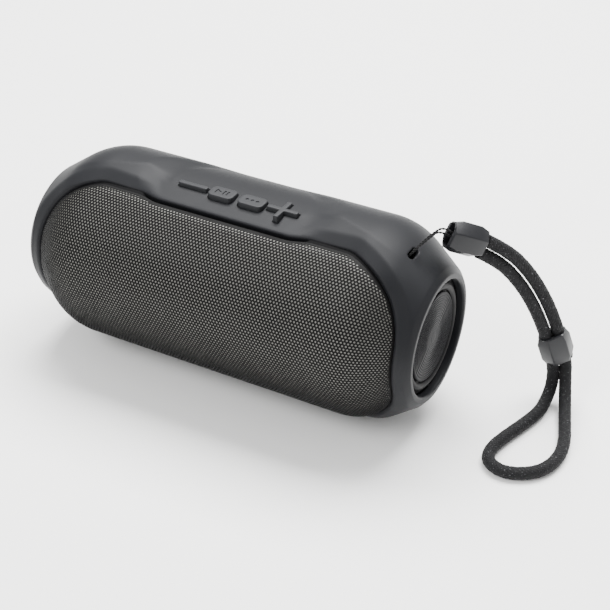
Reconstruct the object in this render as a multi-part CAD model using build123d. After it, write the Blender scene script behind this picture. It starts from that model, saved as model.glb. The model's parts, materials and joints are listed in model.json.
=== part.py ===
from build123d import *
from math import cos, pi, radians, sin, tan
import os

# Portable shower speaker: a barrel lying on its side, with a wrist strap at one end.
# Millimetres. +X along the barrel towards the strap, -Y is the front (grille) side, +Z up.
# The origin is on the surface it stands on, under the middle of the barrel. The barrel's own
# pieces are drawn about its axis and lifted to AXIS_HEIGHT when they are saved.

# Barrel
AXIS_HEIGHT = 38.0
BARREL_R = 38.0
HALF_LENGTH = 80.0
SHOULDER_X = 52.5          # where the shoulder leaves the straight barrel
SHOULDER_R = 27.0          # radius of the shoulder's curve
TAPER = radians(35)        # slope of the cone from the shoulder to the end
FOOT_HEIGHT = 1.0          # the flat underneath is this far off the ground

# Skins, each at its own depth below the outer surface of the barrel
SLEEVE_WALL = 2.5
CABINET_SKIN = 2.6
CABINET_VOID = 5.6
GRILLE_SKIN, GRILLE_BACK = 1.6, 2.4
CLOTH_SKIN, CLOTH_BACK = 2.6, 2.9
POCKET_FLOOR = 3.3

# Front window
WINDOW_HALF_LENGTH = 75.3
WINDOW_HALF_HEIGHT = 34.4
WINDOW_CORNER = 26.5

# Control panel on top: a waist scooped out of the barrel
WAIST_R = 35.8
WAIST_FLAT, WAIST_RIM = 31.0, 40.6   # half lengths of its floor and of its rim
BUTTON_PITCH = 12.3
BUTTON_SHIFT = 0.9
BUTTON_Y = -3.0
BUTTON_TRAVEL = 0.6
BUTTON_TOP, BUTTON_FOOT = 36.9, 34.1
BUTTON_GAP = 0.3
STEM_R, STEM_FOOT = 1.8, 29.9

# Ends
RECESS_R = 21.5
WEIGHT_R = 16.6
WEIGHT_FACE = HALF_LENGTH - 2.2

# Drivers
DRIVER_X = 38.0
BAFFLE_Y = -24.0
BAFFLE_WALL = 2.5
EAR_R = 24.0

# Connectors
PORT_LENGTH, PORT_HEIGHT = 46.0, 15.0
PORT_GAP = 0.3
BOARD_Y = 22.4
BOARD_WALL = 1.6

# Battery
CELL_R, CELL_LENGTH = 9.2, 65.0
CELL_Y, CELL_Z = 8.0, -18.0

# Lanyard eye
EYE_X, EYE_Y = 68.5, -1.0
PIN_R, PIN_DEPTH = 0.75, 3.9

# Strap
STRING_D = 1.0
STRAP_D = 4.4
BEAD_CENTRE = (82.6, 11.4, 73.4)
BEAD_AXIS = (0.694, 0.604, -0.396)
SLIDER_CENTRE = (111.07, 36.56, 22.5)
SLIDER_AXIS = (0.2525, 0.223, -0.9415)

# The string: out of the bead, under the eye's pin and back to the bead.
STRING_ROUTE = [
    (79.2, 8.4, 76.2),
    (76.6, 6.2, 79.2),
    (73.9, 3.9, 77.6),
    (69.8, 0.7, 72.6),
    (65.4, 0.45, 66.35),
    (65.4, -2.45, 66.35),
    (69.6, -2.0, 72.2),
    (73.3, 2.5, 76.3),
    (75.6, 5.0, 78.2),
    (78.7, 8.0, 74.8),
]
# The strap: down through the slider, round the loop on the ground and back up to the bead.
STRAP_ROUTE = [
    (86.2, 14.7, 67.6),
    (92.2, 19.9, 62.5),
    (97.2, 24.4, 54.8),
    (101.7, 28.3, 45.8),
    (106.2, 32.3, 33.5),
    (111.0, 36.5, 15.6),
    (112.3, 34.6, 6.6),
    (112.3, 26.4, 2.4),
    (111.9, 20.6, 2.3),
    (109.6, 12.2, 2.3),
    (106.6, 3.2, 2.3),
    (104.4, -5.4, 2.3),
    (105.6, -12.4, 2.3),
    (112.2, -15.6, 2.3),
    (119.6, -13.0, 2.3),
    (125.2, -7.4, 2.3),
    (127.4, 1.4, 2.3),
    (126.2, 10.2, 2.3),
    (122.9, 19.6, 2.3),
    (119.4, 29.2, 3.4),
    (116.6, 35.6, 9.0),
    (114.6, 39.7, 16.5),
    (109.6, 35.2, 35.5),
    (104.9, 31.1, 48.2),
    (100.2, 27.0, 57.8),
    (94.6, 22.0, 66.3),
    (88.2, 16.4, 71.8),
]


def save(name, shape, height=AXIS_HEIGHT):
    shape = Pos(0, 0, height) * shape
    shape.label = name
    export_step(shape, f"parts/{name}.step")


def group(pieces):
    return Compound([solid for piece in pieces for solid in piece.solids()])


# Building blocks of the barrel

def barrel(inset, half_length):
    """The solid inside the barrel's outer surface, a given distance below it."""
    radius = SHOULDER_R - inset
    centre_r = BARREL_R - SHOULDER_R

    def shoulder(angle, side):
        return (side * (SHOULDER_X + radius * sin(angle)), 0, centre_r + radius * cos(angle))

    foot = shoulder(TAPER, 1)
    end_r = foot[2] - (half_length - foot[0]) * tan(TAPER)
    section = [
        Line((-half_length, 0, 0), (-half_length, 0, end_r)),
        Line((-half_length, 0, end_r), shoulder(TAPER, -1)),
        ThreePointArc(shoulder(TAPER, -1), shoulder(TAPER / 2, -1), shoulder(0, -1)),
        Line(shoulder(0, -1), shoulder(0, 1)),
        ThreePointArc(shoulder(0, 1), shoulder(TAPER / 2, 1), shoulder(TAPER, 1)),
        Line(shoulder(TAPER, 1), (half_length, 0, end_r)),
        Line((half_length, 0, end_r), (half_length, 0, 0)),
        Line((half_length, 0, 0), (-half_length, 0, 0)),
    ]
    return revolve(make_face(section), Axis.X)


def sector(points, start, end):
    """A section of (x, radius) points turned about the barrel, in degrees from the top to the back."""
    face = make_face(Polyline(*[(x, 0, r) for x, r in points], close=True))
    return revolve(Rot(-start, 0, 0) * face, Axis.X, -(end - start))


def waist(drop, spread=0.0):
    """What the control panel takes off the top of a skin that lies a drop below the outer one."""
    low, rim = WAIST_R - drop, BARREL_R + 0.2
    flat, edge = WAIST_FLAT + spread, WAIST_RIM + spread + drop * 0.6
    points = [(-edge, rim), (-flat, low), (flat, low), (edge, rim), (edge, 41), (-edge, 41)]
    return sector(points, -50, 62 + spread)


def plate_xz(length, height, corner, y, depth):
    """A rounded rectangle seen from the front, reaching from y back towards +Y by depth."""
    outline = Plane.XZ.offset(-y) * RectangleRounded(length, height, corner)
    return extrude(outline, -depth)


def front_window(margin):
    length = 2 * (WINDOW_HALF_LENGTH + margin)
    height = 2 * (WINDOW_HALF_HEIGHT + margin)
    return plate_xz(length, height, WINDOW_CORNER + margin, -50, 50)


def port_window(margin):
    outline = (PORT_LENGTH + 2 * margin, PORT_HEIGHT + 2 * margin, 4 + margin)
    return plate_xz(*outline, 20, 30)


def turned(points):
    """A section of (radius, z) points turned about +Z."""
    return revolve(make_face(Polyline(*[(r, 0, z) for r, z in points], close=True)), Axis.Z)


def along_y(shape, x, y, z):
    """Stands a piece drawn along +Z so that it points to the front, -Y."""
    return Pos(x, y, z) * Rot(90, 0, 0) * shape


def rod_y(radius, x, z, y_from, y_to):
    middle = (y_from + y_to) / 2
    return Pos(x, middle, z) * Rot(90, 0, 0) * Cylinder(radius, abs(y_to - y_from))


def rod_x(radius, x, length, y=0.0, z=0.0):
    return Pos(x, y, z) * Rot(0, 90, 0) * Cylinder(radius, length)


def slab(x0, x1, y0, y1, z0, z1):
    return Pos((x0 + x1) / 2, (y0 + y1) / 2, (z0 + z1) / 2) * Box(x1 - x0, y1 - y0, z1 - z0)


def eye_frame():
    """The lanyard eye's plane: at the barrel's surface, +Z outwards, +Y across the slot's width."""
    surface_r = BARREL_R - SHOULDER_R + SHOULDER_R * cos(TAPER)
    surface_r -= (EYE_X - SHOULDER_X - SHOULDER_R * sin(TAPER)) * tan(TAPER)
    height = (surface_r**2 - EYE_Y**2) ** 0.5
    along, out = (cos(TAPER), 0, -sin(TAPER)), (sin(TAPER), 0, cos(TAPER))
    return Plane(origin=(EYE_X, EYE_Y, height), x_dir=along, z_dir=out)


def eye_slot():
    outline = Rot(0, 0, 90) * SlotOverall(6.0, 2.6)
    return eye_frame() * Pos(0, 0, -6.6) * extrude(outline, 10)


def button_outlines():
    """The four buttons' outlines by name, each about its own centre."""
    minus = RectangleRounded(12.1, 2.1, 0.5)
    pad = RectangleRounded(10.1, 6.6, 2.0)
    plus = RectangleRounded(12.3, 2.0, 0.5) + RectangleRounded(2.0, 11.1, 0.5)
    return {"minus": minus, "play": pad, "mode": pad, "plus": plus}


def button_places():
    names = ["minus", "play", "mode", "plus"]
    return {name: BUTTON_SHIFT + (i - 1.5) * BUTTON_PITCH for i, name in enumerate(names)}


# The shell

def rubber_sleeve():
    outer = barrel(0, HALF_LENGTH) - waist(0)
    outer -= slab(-90, 90, -40, 40, -45, FOOT_HEIGHT - AXIS_HEIGHT)
    inner = barrel(SLEEVE_WALL, HALF_LENGTH - 2.4) - waist(SLEEVE_WALL - 0.1)
    body = outer - inner - rod_x(RECESS_R, 0, 2 * HALF_LENGTH + 2)
    body = body - front_window(0) - port_window(0) - eye_slot()
    for name, outline in button_outlines().items():
        hole = offset(outline, BUTTON_GAP)
        body -= Pos(button_places()[name], BUTTON_Y, 30) * extrude(hole, 10)
    return body


def curved_panel(skin, back, margin):
    """A sheet that follows the barrel inside the front window."""
    sheet = barrel(skin, HALF_LENGTH - 2.6) - barrel(back, HALF_LENGTH)
    return sheet & front_window(margin) & slab(-90, 90, -60, -9.5, -60, 60)


def cabinet_outside():
    body = barrel(CABINET_SKIN, HALF_LENGTH - 2.8) - waist(CABINET_SKIN, 0.1)
    pocket = front_window(0.5) - barrel(POCKET_FLOOR, HALF_LENGTH)
    body -= pocket & slab(-90, 90, -60, -7, -60, 60)
    body -= slab(-90, 90, -60, BAFFLE_Y, -60, 60)
    return body


def cabinet_bosses():
    """Blocks inside the cabinet: screw bosses, board posts and the eye's anchor."""
    bosses = [rod_y(3.2, x, z, -23, 23) for x in (-62, 62) for z in (-24, 24)]
    posts = [rod_y(2.6, x, z, BOARD_Y + BOARD_WALL, 31) for x in (-38, 38) for z in (-15, 15)]
    hangers = [Pos(x, BUTTON_Y, 30) * Cylinder(2.4, 6.8) for x in (-26, 26)]
    anchor = eye_frame() * Pos(0, 0, -6.5) * Box(9, 11, 8)
    return bosses + posts + hangers + [anchor]


def cabinet_holes():
    holes = [rod_y(1.35, x, z, 24, -9) for x in (-62, 62) for z in (-24, 24)]
    holes += [rod_y(2.7, x, z, 6, 40) for x in (-62, 62) for z in (-24, 24)]
    holes += [rod_y(0.9, x, z, 20, 29.5) for x in (-38, 38) for z in (-15, 15)]
    holes += [Pos(x, BUTTON_Y, 28) * Cylinder(0.9, 5.6) for x in (-26, 26)]
    holes += [Pos(x, BUTTON_Y, 32) * Cylinder(STEM_R + 0.4, 8) for x in button_places().values()]
    holes += [eye_slot(), eye_frame() * Pos(0, 0, -PIN_DEPTH) * Rot(0, 90, 0) * Cylinder(PIN_R, 7.0)]
    return holes + connector_holes() + driver_holes()


def driver_holes():
    """Each driver's opening in the baffle, with its four screw holes."""
    holes = []
    for x in (-DRIVER_X, DRIVER_X):
        holes.append(rod_y(20.6, x, 0, BAFFLE_Y - 1, BAFFLE_Y + 4))
        for dx, dz in ear_places():
            holes.append(rod_y(0.85, x + dx, dz, BAFFLE_Y - 1, BAFFLE_Y + 4))
    return holes


def cabinet():
    void = barrel(CABINET_VOID, 71) - waist(4.8, 0.1)
    void -= slab(-90, 90, -60, BAFFLE_Y + BAFFLE_WALL, -60, 60)
    for boss in cabinet_bosses():
        void -= boss
    body = cabinet_outside() - void
    body -= rod_x(19.0, 0, 200)
    for side in (-1, 1):
        body -= rod_x(RECESS_R - 0.1, side * 80, 12.4)
    for hole in cabinet_holes():
        body -= hole
    return body


# Drivers, drawn along +Z with the mounting plane at z = 0

def ear_places():
    reach = EAR_R * cos(pi / 4)
    return [(sx * reach, sz * reach) for sx in (-1, 1) for sz in (-1, 1)]


def driver_basket():
    frame = turned([
        (20.0, 1.0), (22.0, 1.0), (22.0, 0.0), (20.3, 0.0), (14.4, -8.9), (15.0, -8.9),
        (15.0, -10.2), (8.4, -10.2), (8.4, -9.5), (13.6, -9.5), (13.6, -8.9), (19.4, -0.4), (20.0, -0.4),
    ])
    for x, z in ear_places():
        frame += Pos(x, z, 0.5) * Cylinder(2.6, 1.0) - Pos(0, 0, 0.5) * Cylinder(21, 1.2)
    for x, z in ear_places():
        frame -= Pos(x, z, 0.5) * Cylinder(1.15, 1.2)
    for i in range(6):
        frame -= Rot(0, 0, 60 * i + 30) * Pos(17, 0, -5) * Box(6, 7, 4)
    return frame


def driver_pieces():
    """The driver's pieces by name, each about the driver's axis."""
    yoke = turned([(0, -10.4), (6.0, -10.4), (6.0, -17.2), (15.0, -17.2), (15.0, -19.2), (0, -19.2)])
    rim = turned([(16.6, -0.2), (16.6, 0.4), (16.1, 0.4), (6.9, -5.1), (6.9, -5.7)])
    dome = turned([(6.7, -5.6), (6.7, -5.1), (4.6, -3.9), (2.4, -3.2), (0, -3.0), (0, -3.5),
                   (2.2, -3.7), (4.2, -4.3), (5.9, -5.3), (6.1, -5.6)])
    roll = Pos(18.8, 0, 1.05) * Rot(90, 0, 0) * (Circle(1.8) - Circle(1.35))
    roll &= Pos(18.8, 0, 2.05) * Rot(90, 0, 0) * Rectangle(3.6, 2.0)
    lip = make_face(Polyline((20.5, 0, 1.05), (21.8, 0, 1.05), (21.8, 0, 1.5), (20.5, 0, 1.5), close=True))
    return {
        "basket": driver_basket(),
        "top_plate": turned([(7.1, -10.2), (15.0, -10.2), (15.0, -12.2), (7.1, -12.2)]),
        "magnet": turned([(8.5, -12.2), (15.6, -12.2), (15.6, -17.2), (8.5, -17.2)]),
        "yoke": yoke,
        "voice_coil": turned([(6.35, -15.2), (6.75, -15.2), (6.75, -5.7), (6.35, -5.7)]),
        "cone": rim,
        "dust_cap": dome,
        "surround": revolve(roll, Axis.Z) + revolve(lip, Axis.Z),
        "spider": turned([(7.2, -8.9), (7.2, -8.4), (13.3, -8.4), (13.3, -8.9)]),
    }


def screw(shank_r, length, head_r, head):
    """A pan-head screw along +Z: the head's seat is at z = 0 and the shank points down."""
    body = Pos(0, 0, -length / 2) * Cylinder(shank_r, length)
    body += Pos(0, 0, head / 2) * Cylinder(head_r, head)
    cross = Box(head_r * 1.2, 0.5, 0.8) + Box(0.5, head_r * 1.2, 0.8)
    return body - Pos(0, 0, head) * cross


# Passive radiators, drawn along +Z with the barrel's end plane at z = 0

def radiator_pieces():
    face = WEIGHT_FACE - HALF_LENGTH
    weight = turned([(0, face), (WEIGHT_R - 0.5, face), (WEIGHT_R, face - 0.5), (WEIGHT_R, face - 4.0),
                     (WEIGHT_R - 3, face - 4.0), (WEIGHT_R - 3, face - 2.0), (0, face - 2.0)])
    seat = -6.1
    ring = turned([(19.2, seat), (RECESS_R - 0.2, seat), (RECESS_R - 0.2, seat + 2.6), (20.4, seat + 2.6),
                   (20.4, seat + 1.2), (19.2, seat + 1.2)])
    roll = Pos(18.6, 0, seat + 1.3) * Rot(90, 0, 0) * (Circle(1.7) - Circle(1.2))
    roll &= Pos(18.6, 0, seat + 2.3) * Rot(90, 0, 0) * Rectangle(3.4, 2.0)
    return {"ring": ring, "surround": revolve(roll, Axis.Z), "weight": weight}


# Electronics

def connector_places():
    return {"usb_c_socket": -14.0, "aux_jack": 1.0, "card_slot": 14.5}


def connector_holes():
    places = connector_places()
    usb = plate_xz(9.6, 3.9, 1.8, 28, 12)
    card = plate_xz(15.4, 2.8, 0.6, 28, 12)
    return [
        Pos(places["usb_c_socket"], 0, 0) * usb,
        rod_y(3.2, places["aux_jack"], 0, 26, 40),
        Pos(places["card_slot"], 0, 0) * card,
        rod_y(0.85, -7.0, 0, 26, 40),
        rod_y(0.6, 6.6, 3.6, 26, 40),
    ]


def usb_c_socket():
    front, back = 35.0, BOARD_Y + BOARD_WALL
    shell = plate_xz(9.0, 3.3, 1.6, back, front - back)
    mouth = plate_xz(8.4, 2.7, 1.3, front - 6.5, 7)
    tongue = plate_xz(6.7, 0.7, 0.3, front - 6.6, 5.6)
    return shell - mouth + tongue


def aux_jack():
    front, back = 35.0, BOARD_Y + BOARD_WALL
    body = slab(-3.1, 3.1, back, 28.4, -2.6, 2.6) + rod_y(3.0, 0, 0, 28, front)
    return body - rod_y(1.8, 0, 0, front - 9, front + 1)


def card_slot():
    front, back = 34.6, BOARD_Y + BOARD_WALL
    return slab(-7.4, 7.4, back, front, -1.1, 1.1) - slab(-5.6, 5.6, 26, front + 1, -0.4, 0.4)


def main_board():
    board = plate_xz(84, 36, 2, BOARD_Y, BOARD_WALL)
    for x in (-38, 38):
        for z in (-15, 15):
            board -= rod_y(1.2, x, z, 20, 26)
    return board


def board_chips():
    """Radio, amplifier, charger, storage capacitors and inductors on the board's inner face."""
    face = BOARD_Y
    blocks = [(-26, 6, 7, 7, 1.0), (0, 6, 12, 10, 2.2), (22, 4, 6, 5, 1.2), (24, -8, 5, 5, 1.2),
              (-12, -8, 4, 4, 2.4), (12, -8, 4, 4, 2.4), (-26, -8, 8, 5, 1.6)]
    chips = [slab(x - w / 2, x + w / 2, face - t, face, z - h / 2, z + h / 2) for x, z, w, h, t in blocks]
    cans = [rod_y(2.5, x, -12.5, face - 5.4, face) for x in (-3.2, 3.2)]
    return group(chips + cans)


def button_board():
    board = Pos(0, BUTTON_Y, 25.8) * extrude(RectangleRounded(58, 12, 2), 0.8, both=True)
    for x in (-26, 26):
        board -= Pos(x, BUTTON_Y, 25.8) * Cylinder(1.2, 3)
    return board


def tact_switches():
    switch = Pos(0, 0, 1.0) * Box(4.6, 4.6, 2.0) + Pos(0, 0, 2.2) * Cylinder(1.1, 0.6)
    return group(Pos(x, BUTTON_Y, 26.6) * switch for x in button_places().values())


def battery_cell():
    cell = rod_x(CELL_R, 0, CELL_LENGTH, CELL_Y, CELL_Z)
    return cell + rod_x(3.0, CELL_LENGTH / 2 + 0.4, 0.8, CELL_Y, CELL_Z)


def battery_cradle():
    """A trough under the cell, with an end stop at each side and a rib that glues to the cabinet."""
    length = CELL_LENGTH - 6
    trough = rod_x(CELL_R + 1.6, 0, length, CELL_Y, CELL_Z) - rod_x(CELL_R + 0.2, 0, length + 2, CELL_Y, CELL_Z)
    return trough - slab(-60, 60, CELL_Y - 15, CELL_Y + 15, CELL_Z + 2, CELL_Z + 20)


# Buttons and port cover

def button(name):
    cap = Pos(0, 0, BUTTON_FOOT) * extrude(button_outlines()[name], BUTTON_TOP - BUTTON_FOOT)
    cap = chamfer(cap.edges().group_by(Axis.Z)[-1], 0.35)
    if name in ("play", "mode"):
        cap -= Pos(0, 0, BUTTON_TOP) * button_icon(name)
    stem_height = BUTTON_FOOT - STEM_FOOT
    stem = Pos(0, 0, STEM_FOOT + stem_height / 2) * Cylinder(STEM_R if name in ("play", "mode") else 1.0, stem_height)
    return Pos(button_places()[name], BUTTON_Y, 0) * (cap + stem)


def button_icon(name):
    """The icon sunk into a button's top: play and pause, or three mode dots."""
    if name == "play":
        arrow = make_face(Polyline((-2.6, -1.2), (-2.6, 1.2), (-0.6, 0), close=True))
        for x in (0.7, 2.0):
            arrow += Pos(x, 0) * Rectangle(0.6, 2.4)
        return extrude(arrow, 0.3, both=True)
    dots = Circle(0.65)
    for x in (-2.1, 2.1):
        dots += Pos(x, 0) * Circle(0.65)
    return extrude(dots, 0.3, both=True)


def port_cover():
    shell = barrel(0, HALF_LENGTH) - barrel(SLEEVE_WALL - 0.2, HALF_LENGTH)
    cover = shell & port_window(-PORT_GAP)
    return cover - Pos(0, BARREL_R + 1.2, 6.4) * Rot(0, 90, 0) * Cylinder(2.0, 10)


def feet():
    pad = extrude(SlotOverall(26, 12), FOOT_HEIGHT)
    return group(Pos(x, 0, -AXIS_HEIGHT) * pad for x in (-42, 42))


# Strap

def tube(route, diameter, name):
    """A round cord along straight runs joined by tangent arcs, each as large as its runs allow."""
    points = [Vector(*p) for p in route]
    runs = [b - a for a, b in zip(points, points[1:])]
    radii = []
    for before, after in zip(runs, runs[1:]):
        turn = radians(before.get_angle(after))
        radii.append(0.45 * min(before.length, after.length) / tan(turn / 2))
    path = FilletPolyline(*points, radius=radii)
    profile = Plane(origin=path @ 0, z_dir=path % 0) * Circle(diameter / 2)
    solid = sweep(profile, path=path)
    expected = pi * diameter**2 / 4 * path.length
    print(name, "length", round(path.length, 1), "least radius", round(min(radii), 1))
    print("  radii", [round(r, 1) for r in radii])
    print("  volume", round(solid.volume, 1), "expected", round(expected, 1))
    return solid


def bead_frame(centre, axis):
    """Along the bead: +Z is its axis, +X its long cross axis, which stands in the strap's plane."""
    axis = Vector(*axis).normalized()
    flat = axis.cross(Vector(0, 0, 1)).normalized()
    return Plane(origin=centre, x_dir=flat.cross(axis), z_dir=axis)


def faceted_bead(length, tall, wide):
    """A barrel-shaped bead of six flats, chamfered towards both ends."""
    def outline(scale):
        a, b, c = tall / 2 * scale, wide / 2 * scale, tall / 4 * scale
        return make_face(Polyline((a, 0), (c, b), (-c, b), (-a, 0), (-c, -b), (c, -b), close=True))

    half = length / 2
    levels = [(-half, 0.84), (-half + 3, 1.0), (half - 3, 1.0), (half, 0.84)]
    return loft([Pos(0, 0, z) * outline(scale) for z, scale in levels], ruled=True)


def end_bead():
    return bead_frame(BEAD_CENTRE, BEAD_AXIS) * faceted_bead(13.5, 12.6, 9.0)


def slider_bead():
    channel = extrude(RectangleRounded(10.2, 5.4, 2.6), 10, both=True)
    return bead_frame(SLIDER_CENTRE, SLIDER_AXIS) * (faceted_bead(13.0, 13.2, 8.4) - channel)


def save_cabinet():
    body = cabinet()
    save("front_cabinet", body & slab(-90, 90, -60, -0.5, -60, 60))
    save("rear_cabinet", body & slab(-90, 90, 0.5, 60, -60, 60))
    seam = cabinet_outside() - barrel(CABINET_VOID, 71) - rod_x(RECESS_R - 0.1, 0, 200)
    seam = seam - waist(4.8) - eye_frame() * Box(12, 14, 30)
    save("cabinet_seal", seam & slab(-90, 90, -0.5, 0.5, -60, 60))


def save_drivers():
    screws = []
    for side, x in (("left", -DRIVER_X), ("right", DRIVER_X)):
        for name, piece in driver_pieces().items():
            save(f"{side}_driver_{name}", along_y(piece, x, BAFFLE_Y, 0))
        screws += [along_y(screw(0.8, 6, 1.8, 1.1), x + dx, BAFFLE_Y - 1.0, dz) for dx, dz in ear_places()]
    save("driver_screws", group(screws))


def save_radiators():
    for side, sign in (("left", -1), ("right", 1)):
        for name, piece in radiator_pieces().items():
            save(f"{side}_radiator_{name}", Pos(sign * HALF_LENGTH, 0, 0) * Rot(0, sign * 90, 0) * piece)


def save_electronics():
    save("main_board", main_board())
    save("board_chips", board_chips())
    for name, maker in (("usb_c_socket", usb_c_socket), ("aux_jack", aux_jack), ("card_slot", card_slot)):
        save(name, Pos(connector_places()[name], 0, 0) * maker())
    save("status_light", rod_y(0.8, -7.0, 0, BOARD_Y + BOARD_WALL, 35.0))
    save("microphone", slab(4.6, 8.6, BOARD_Y + BOARD_WALL, BOARD_Y + 2.8, 2.4, 5.4))
    save("button_board", button_board())
    save("tact_switches", tact_switches())
    save("battery_cell", battery_cell())
    save("battery_cradle", battery_cradle())


def save_fasteners():
    case = screw(1.25, 13, 2.4, 1.6)
    save("cabinet_screws", group(Pos(x, 6, z) * Rot(-90, 0, 0) * case for x in (-62, 62) for z in (-24, 24)))
    small = screw(0.8, 5, 1.8, 1.1)
    board = [Pos(x, BOARD_Y, z) * Rot(90, 0, 0) * small for x in (-38, 38) for z in (-15, 15)]
    hung = [Pos(x, BUTTON_Y, 25.0) * Rot(180, 0, 0) * small for x in (-26, 26)]
    save("board_screws", group(board + hung))
    pin = eye_frame() * Pos(0, 0, -PIN_DEPTH) * Rot(0, 90, 0) * Cylinder(PIN_R, 6.8)
    save("lanyard_pin", pin)


def save_strap():
    save("lanyard_string", tube(STRING_ROUTE, STRING_D, "string"), 0)
    save("end_bead", end_bead(), 0)
    save("wrist_strap", tube(STRAP_ROUTE, STRAP_D, "strap"), 0)
    save("slider_bead", slider_bead(), 0)


os.makedirs("parts", exist_ok=True)
save("rubber_sleeve", rubber_sleeve())
save("front_grille", curved_panel(GRILLE_SKIN, GRILLE_BACK, -0.3))
save("grille_cloth", curved_panel(CLOTH_SKIN, CLOTH_BACK, -0.3))
save_cabinet()
save_drivers()
save_radiators()
save_electronics()
save_fasteners()
for button_name in button_places():
    save(f"{button_name}_button", button(button_name))
save("port_cover", port_cover())
save("rubber_feet", feet())
save_strap()
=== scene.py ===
import json
import math

import bmesh
import bpy
import numpy as np
from mathutils import Matrix, Vector
from mathutils.geometry import delaunay_2d_cdt


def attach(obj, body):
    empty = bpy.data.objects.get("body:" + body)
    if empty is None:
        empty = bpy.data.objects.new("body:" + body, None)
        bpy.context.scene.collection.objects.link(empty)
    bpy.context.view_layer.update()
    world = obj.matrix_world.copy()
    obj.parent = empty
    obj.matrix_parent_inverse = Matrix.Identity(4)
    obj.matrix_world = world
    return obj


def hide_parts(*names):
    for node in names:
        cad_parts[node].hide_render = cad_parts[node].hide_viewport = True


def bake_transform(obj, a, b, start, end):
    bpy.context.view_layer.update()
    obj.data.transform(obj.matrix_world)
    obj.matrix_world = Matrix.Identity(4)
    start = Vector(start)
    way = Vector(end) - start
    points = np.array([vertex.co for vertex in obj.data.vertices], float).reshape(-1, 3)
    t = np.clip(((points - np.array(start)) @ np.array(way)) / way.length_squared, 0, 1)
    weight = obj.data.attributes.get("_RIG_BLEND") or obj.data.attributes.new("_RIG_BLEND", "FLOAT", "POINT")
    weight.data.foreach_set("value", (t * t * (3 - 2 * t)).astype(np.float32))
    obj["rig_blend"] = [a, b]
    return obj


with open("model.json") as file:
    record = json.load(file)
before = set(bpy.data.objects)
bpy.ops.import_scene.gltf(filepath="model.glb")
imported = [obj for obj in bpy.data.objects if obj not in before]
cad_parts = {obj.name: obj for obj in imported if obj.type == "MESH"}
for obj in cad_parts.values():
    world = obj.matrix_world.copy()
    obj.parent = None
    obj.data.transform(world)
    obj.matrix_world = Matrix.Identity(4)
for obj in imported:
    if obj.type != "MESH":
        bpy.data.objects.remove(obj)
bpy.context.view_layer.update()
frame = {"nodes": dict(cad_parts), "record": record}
nodes = frame["nodes"]

MM = 0.001
AXIS_HEIGHT = 38.0          # the barrel's axis above the ground; all lengths here are millimetres

# Barrel, as the frame has it
BARREL_R = 38.0
HALF_LENGTH = 80.0
SHOULDER_X, SHOULDER_R = 52.5, 27.0
TAPER = math.radians(35)
RECESS_R = 21.5
FLAT_HEIGHT = 1.0
SLEEVE_WALL = 2.4
BEVEL_START, BEVEL_SLOPE = 78.0, math.radians(50)

# Sleeve's front window and its chamfer
WINDOW_X, WINDOW_Z, WINDOW_CORNER = 75.3, 34.35, 26.5
WINDOW_DIP = 0.92
FLAT_SHARE = 1.25
CHAMFER_WIDTH, CHAMFER_DROP = 5.2, 1.8

# Control panel
PANEL_R = 35.85
PANEL_CREASE = math.radians(-3.2)
PANEL_FRONT_SLOPE = 0.205
BUTTON_PITCH, BUTTON_SHIFT, BUTTON_Y = 12.3, 0.9, -3.0
BUTTON_TOP, BUTTON_FOOT = 36.9, 34.1
BUTTON_GAP = 0.22
UNDERCUT = (1.01, 1.13)
SLOT_X = 68.9

# Grille
GRILLE_INSET = 2.1
HOLE_PITCH = 1.28
HOLE_R = 0.40
HOLE_SIDES = 12
GRILLE_DEPTH = 0.16

# Camera
CAMERA_AZIMUTH, CAMERA_ELEVATION = math.radians(28.642), math.radians(34.294)
CAMERA_DISTANCE, CAMERA_RIGHT, CAMERA_UP = 503.46, 23.311, -9.827
CAMERA_LENS = 79.81

STRING_D, STRAP_D = 1.0, 4.4
STRING_ROUTE = [
    (79.2, 8.4, 76.2),
    (76.6, 6.2, 79.2),
    (73.9, 3.9, 77.6),
    (69.8, 0.7, 72.6),
    (65.4, 0.45, 66.35),
    (65.4, -2.45, 66.35),
    (69.6, -2.0, 72.2),
    (73.3, 2.5, 76.3),
    (75.6, 5.0, 78.2),
    (78.7, 8.0, 74.8),
]
STRAP_ROUTE = [
    (86.2, 14.7, 67.6),
    (92.2, 19.9, 62.5),
    (97.2, 24.4, 54.8),
    (101.7, 28.3, 45.8),
    (106.2, 32.3, 33.5),
    (111.0, 36.5, 15.6),
    (112.3, 34.6, 6.6),
    (112.3, 26.4, 2.4),
    (111.9, 20.6, 2.3),
    (109.6, 12.2, 2.3),
    (106.6, 3.2, 2.3),
    (104.4, -5.4, 2.3),
    (105.6, -12.4, 2.3),
    (112.2, -15.6, 2.3),
    (119.6, -13.0, 2.3),
    (125.2, -7.4, 2.3),
    (127.4, 1.4, 2.3),
    (126.2, 10.2, 2.3),
    (122.9, 19.6, 2.3),
    (119.4, 29.2, 3.4),
    (116.6, 35.6, 9.0),
    (114.6, 39.7, 16.5),
    (109.6, 35.2, 35.5),
    (104.9, 31.1, 48.2),
    (100.2, 27.0, 57.8),
    (94.6, 22.0, 66.3),
    (88.2, 16.4, 71.8),
]
BEAD_CENTRE, BEAD_AXIS = (82.6, 11.4, 73.4), (0.694, 0.604, -0.396)
SLIDER_CENTRE, SLIDER_AXIS = (111.07, 36.56, 22.5), (0.2525, 0.223, -0.9415)


# ---------------------------------------------------------------- mesh helpers

def mesh_object(name, points, faces, smooth=True, sharp=None):
    """A mesh from points in millimetres."""
    mesh = bpy.data.meshes.new(name)
    mesh.from_pydata((np.asarray(points, float) * MM).tolist(), [], [list(map(int, f)) for f in faces])
    mesh.validate()
    mesh.update()
    if smooth:
        mesh.shade_smooth()
    if sharp is not None:
        mesh.set_sharp_from_angle(angle=math.radians(sharp))
    obj = bpy.data.objects.new(name, mesh)
    bpy.context.scene.collection.objects.link(obj)
    return obj


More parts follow.
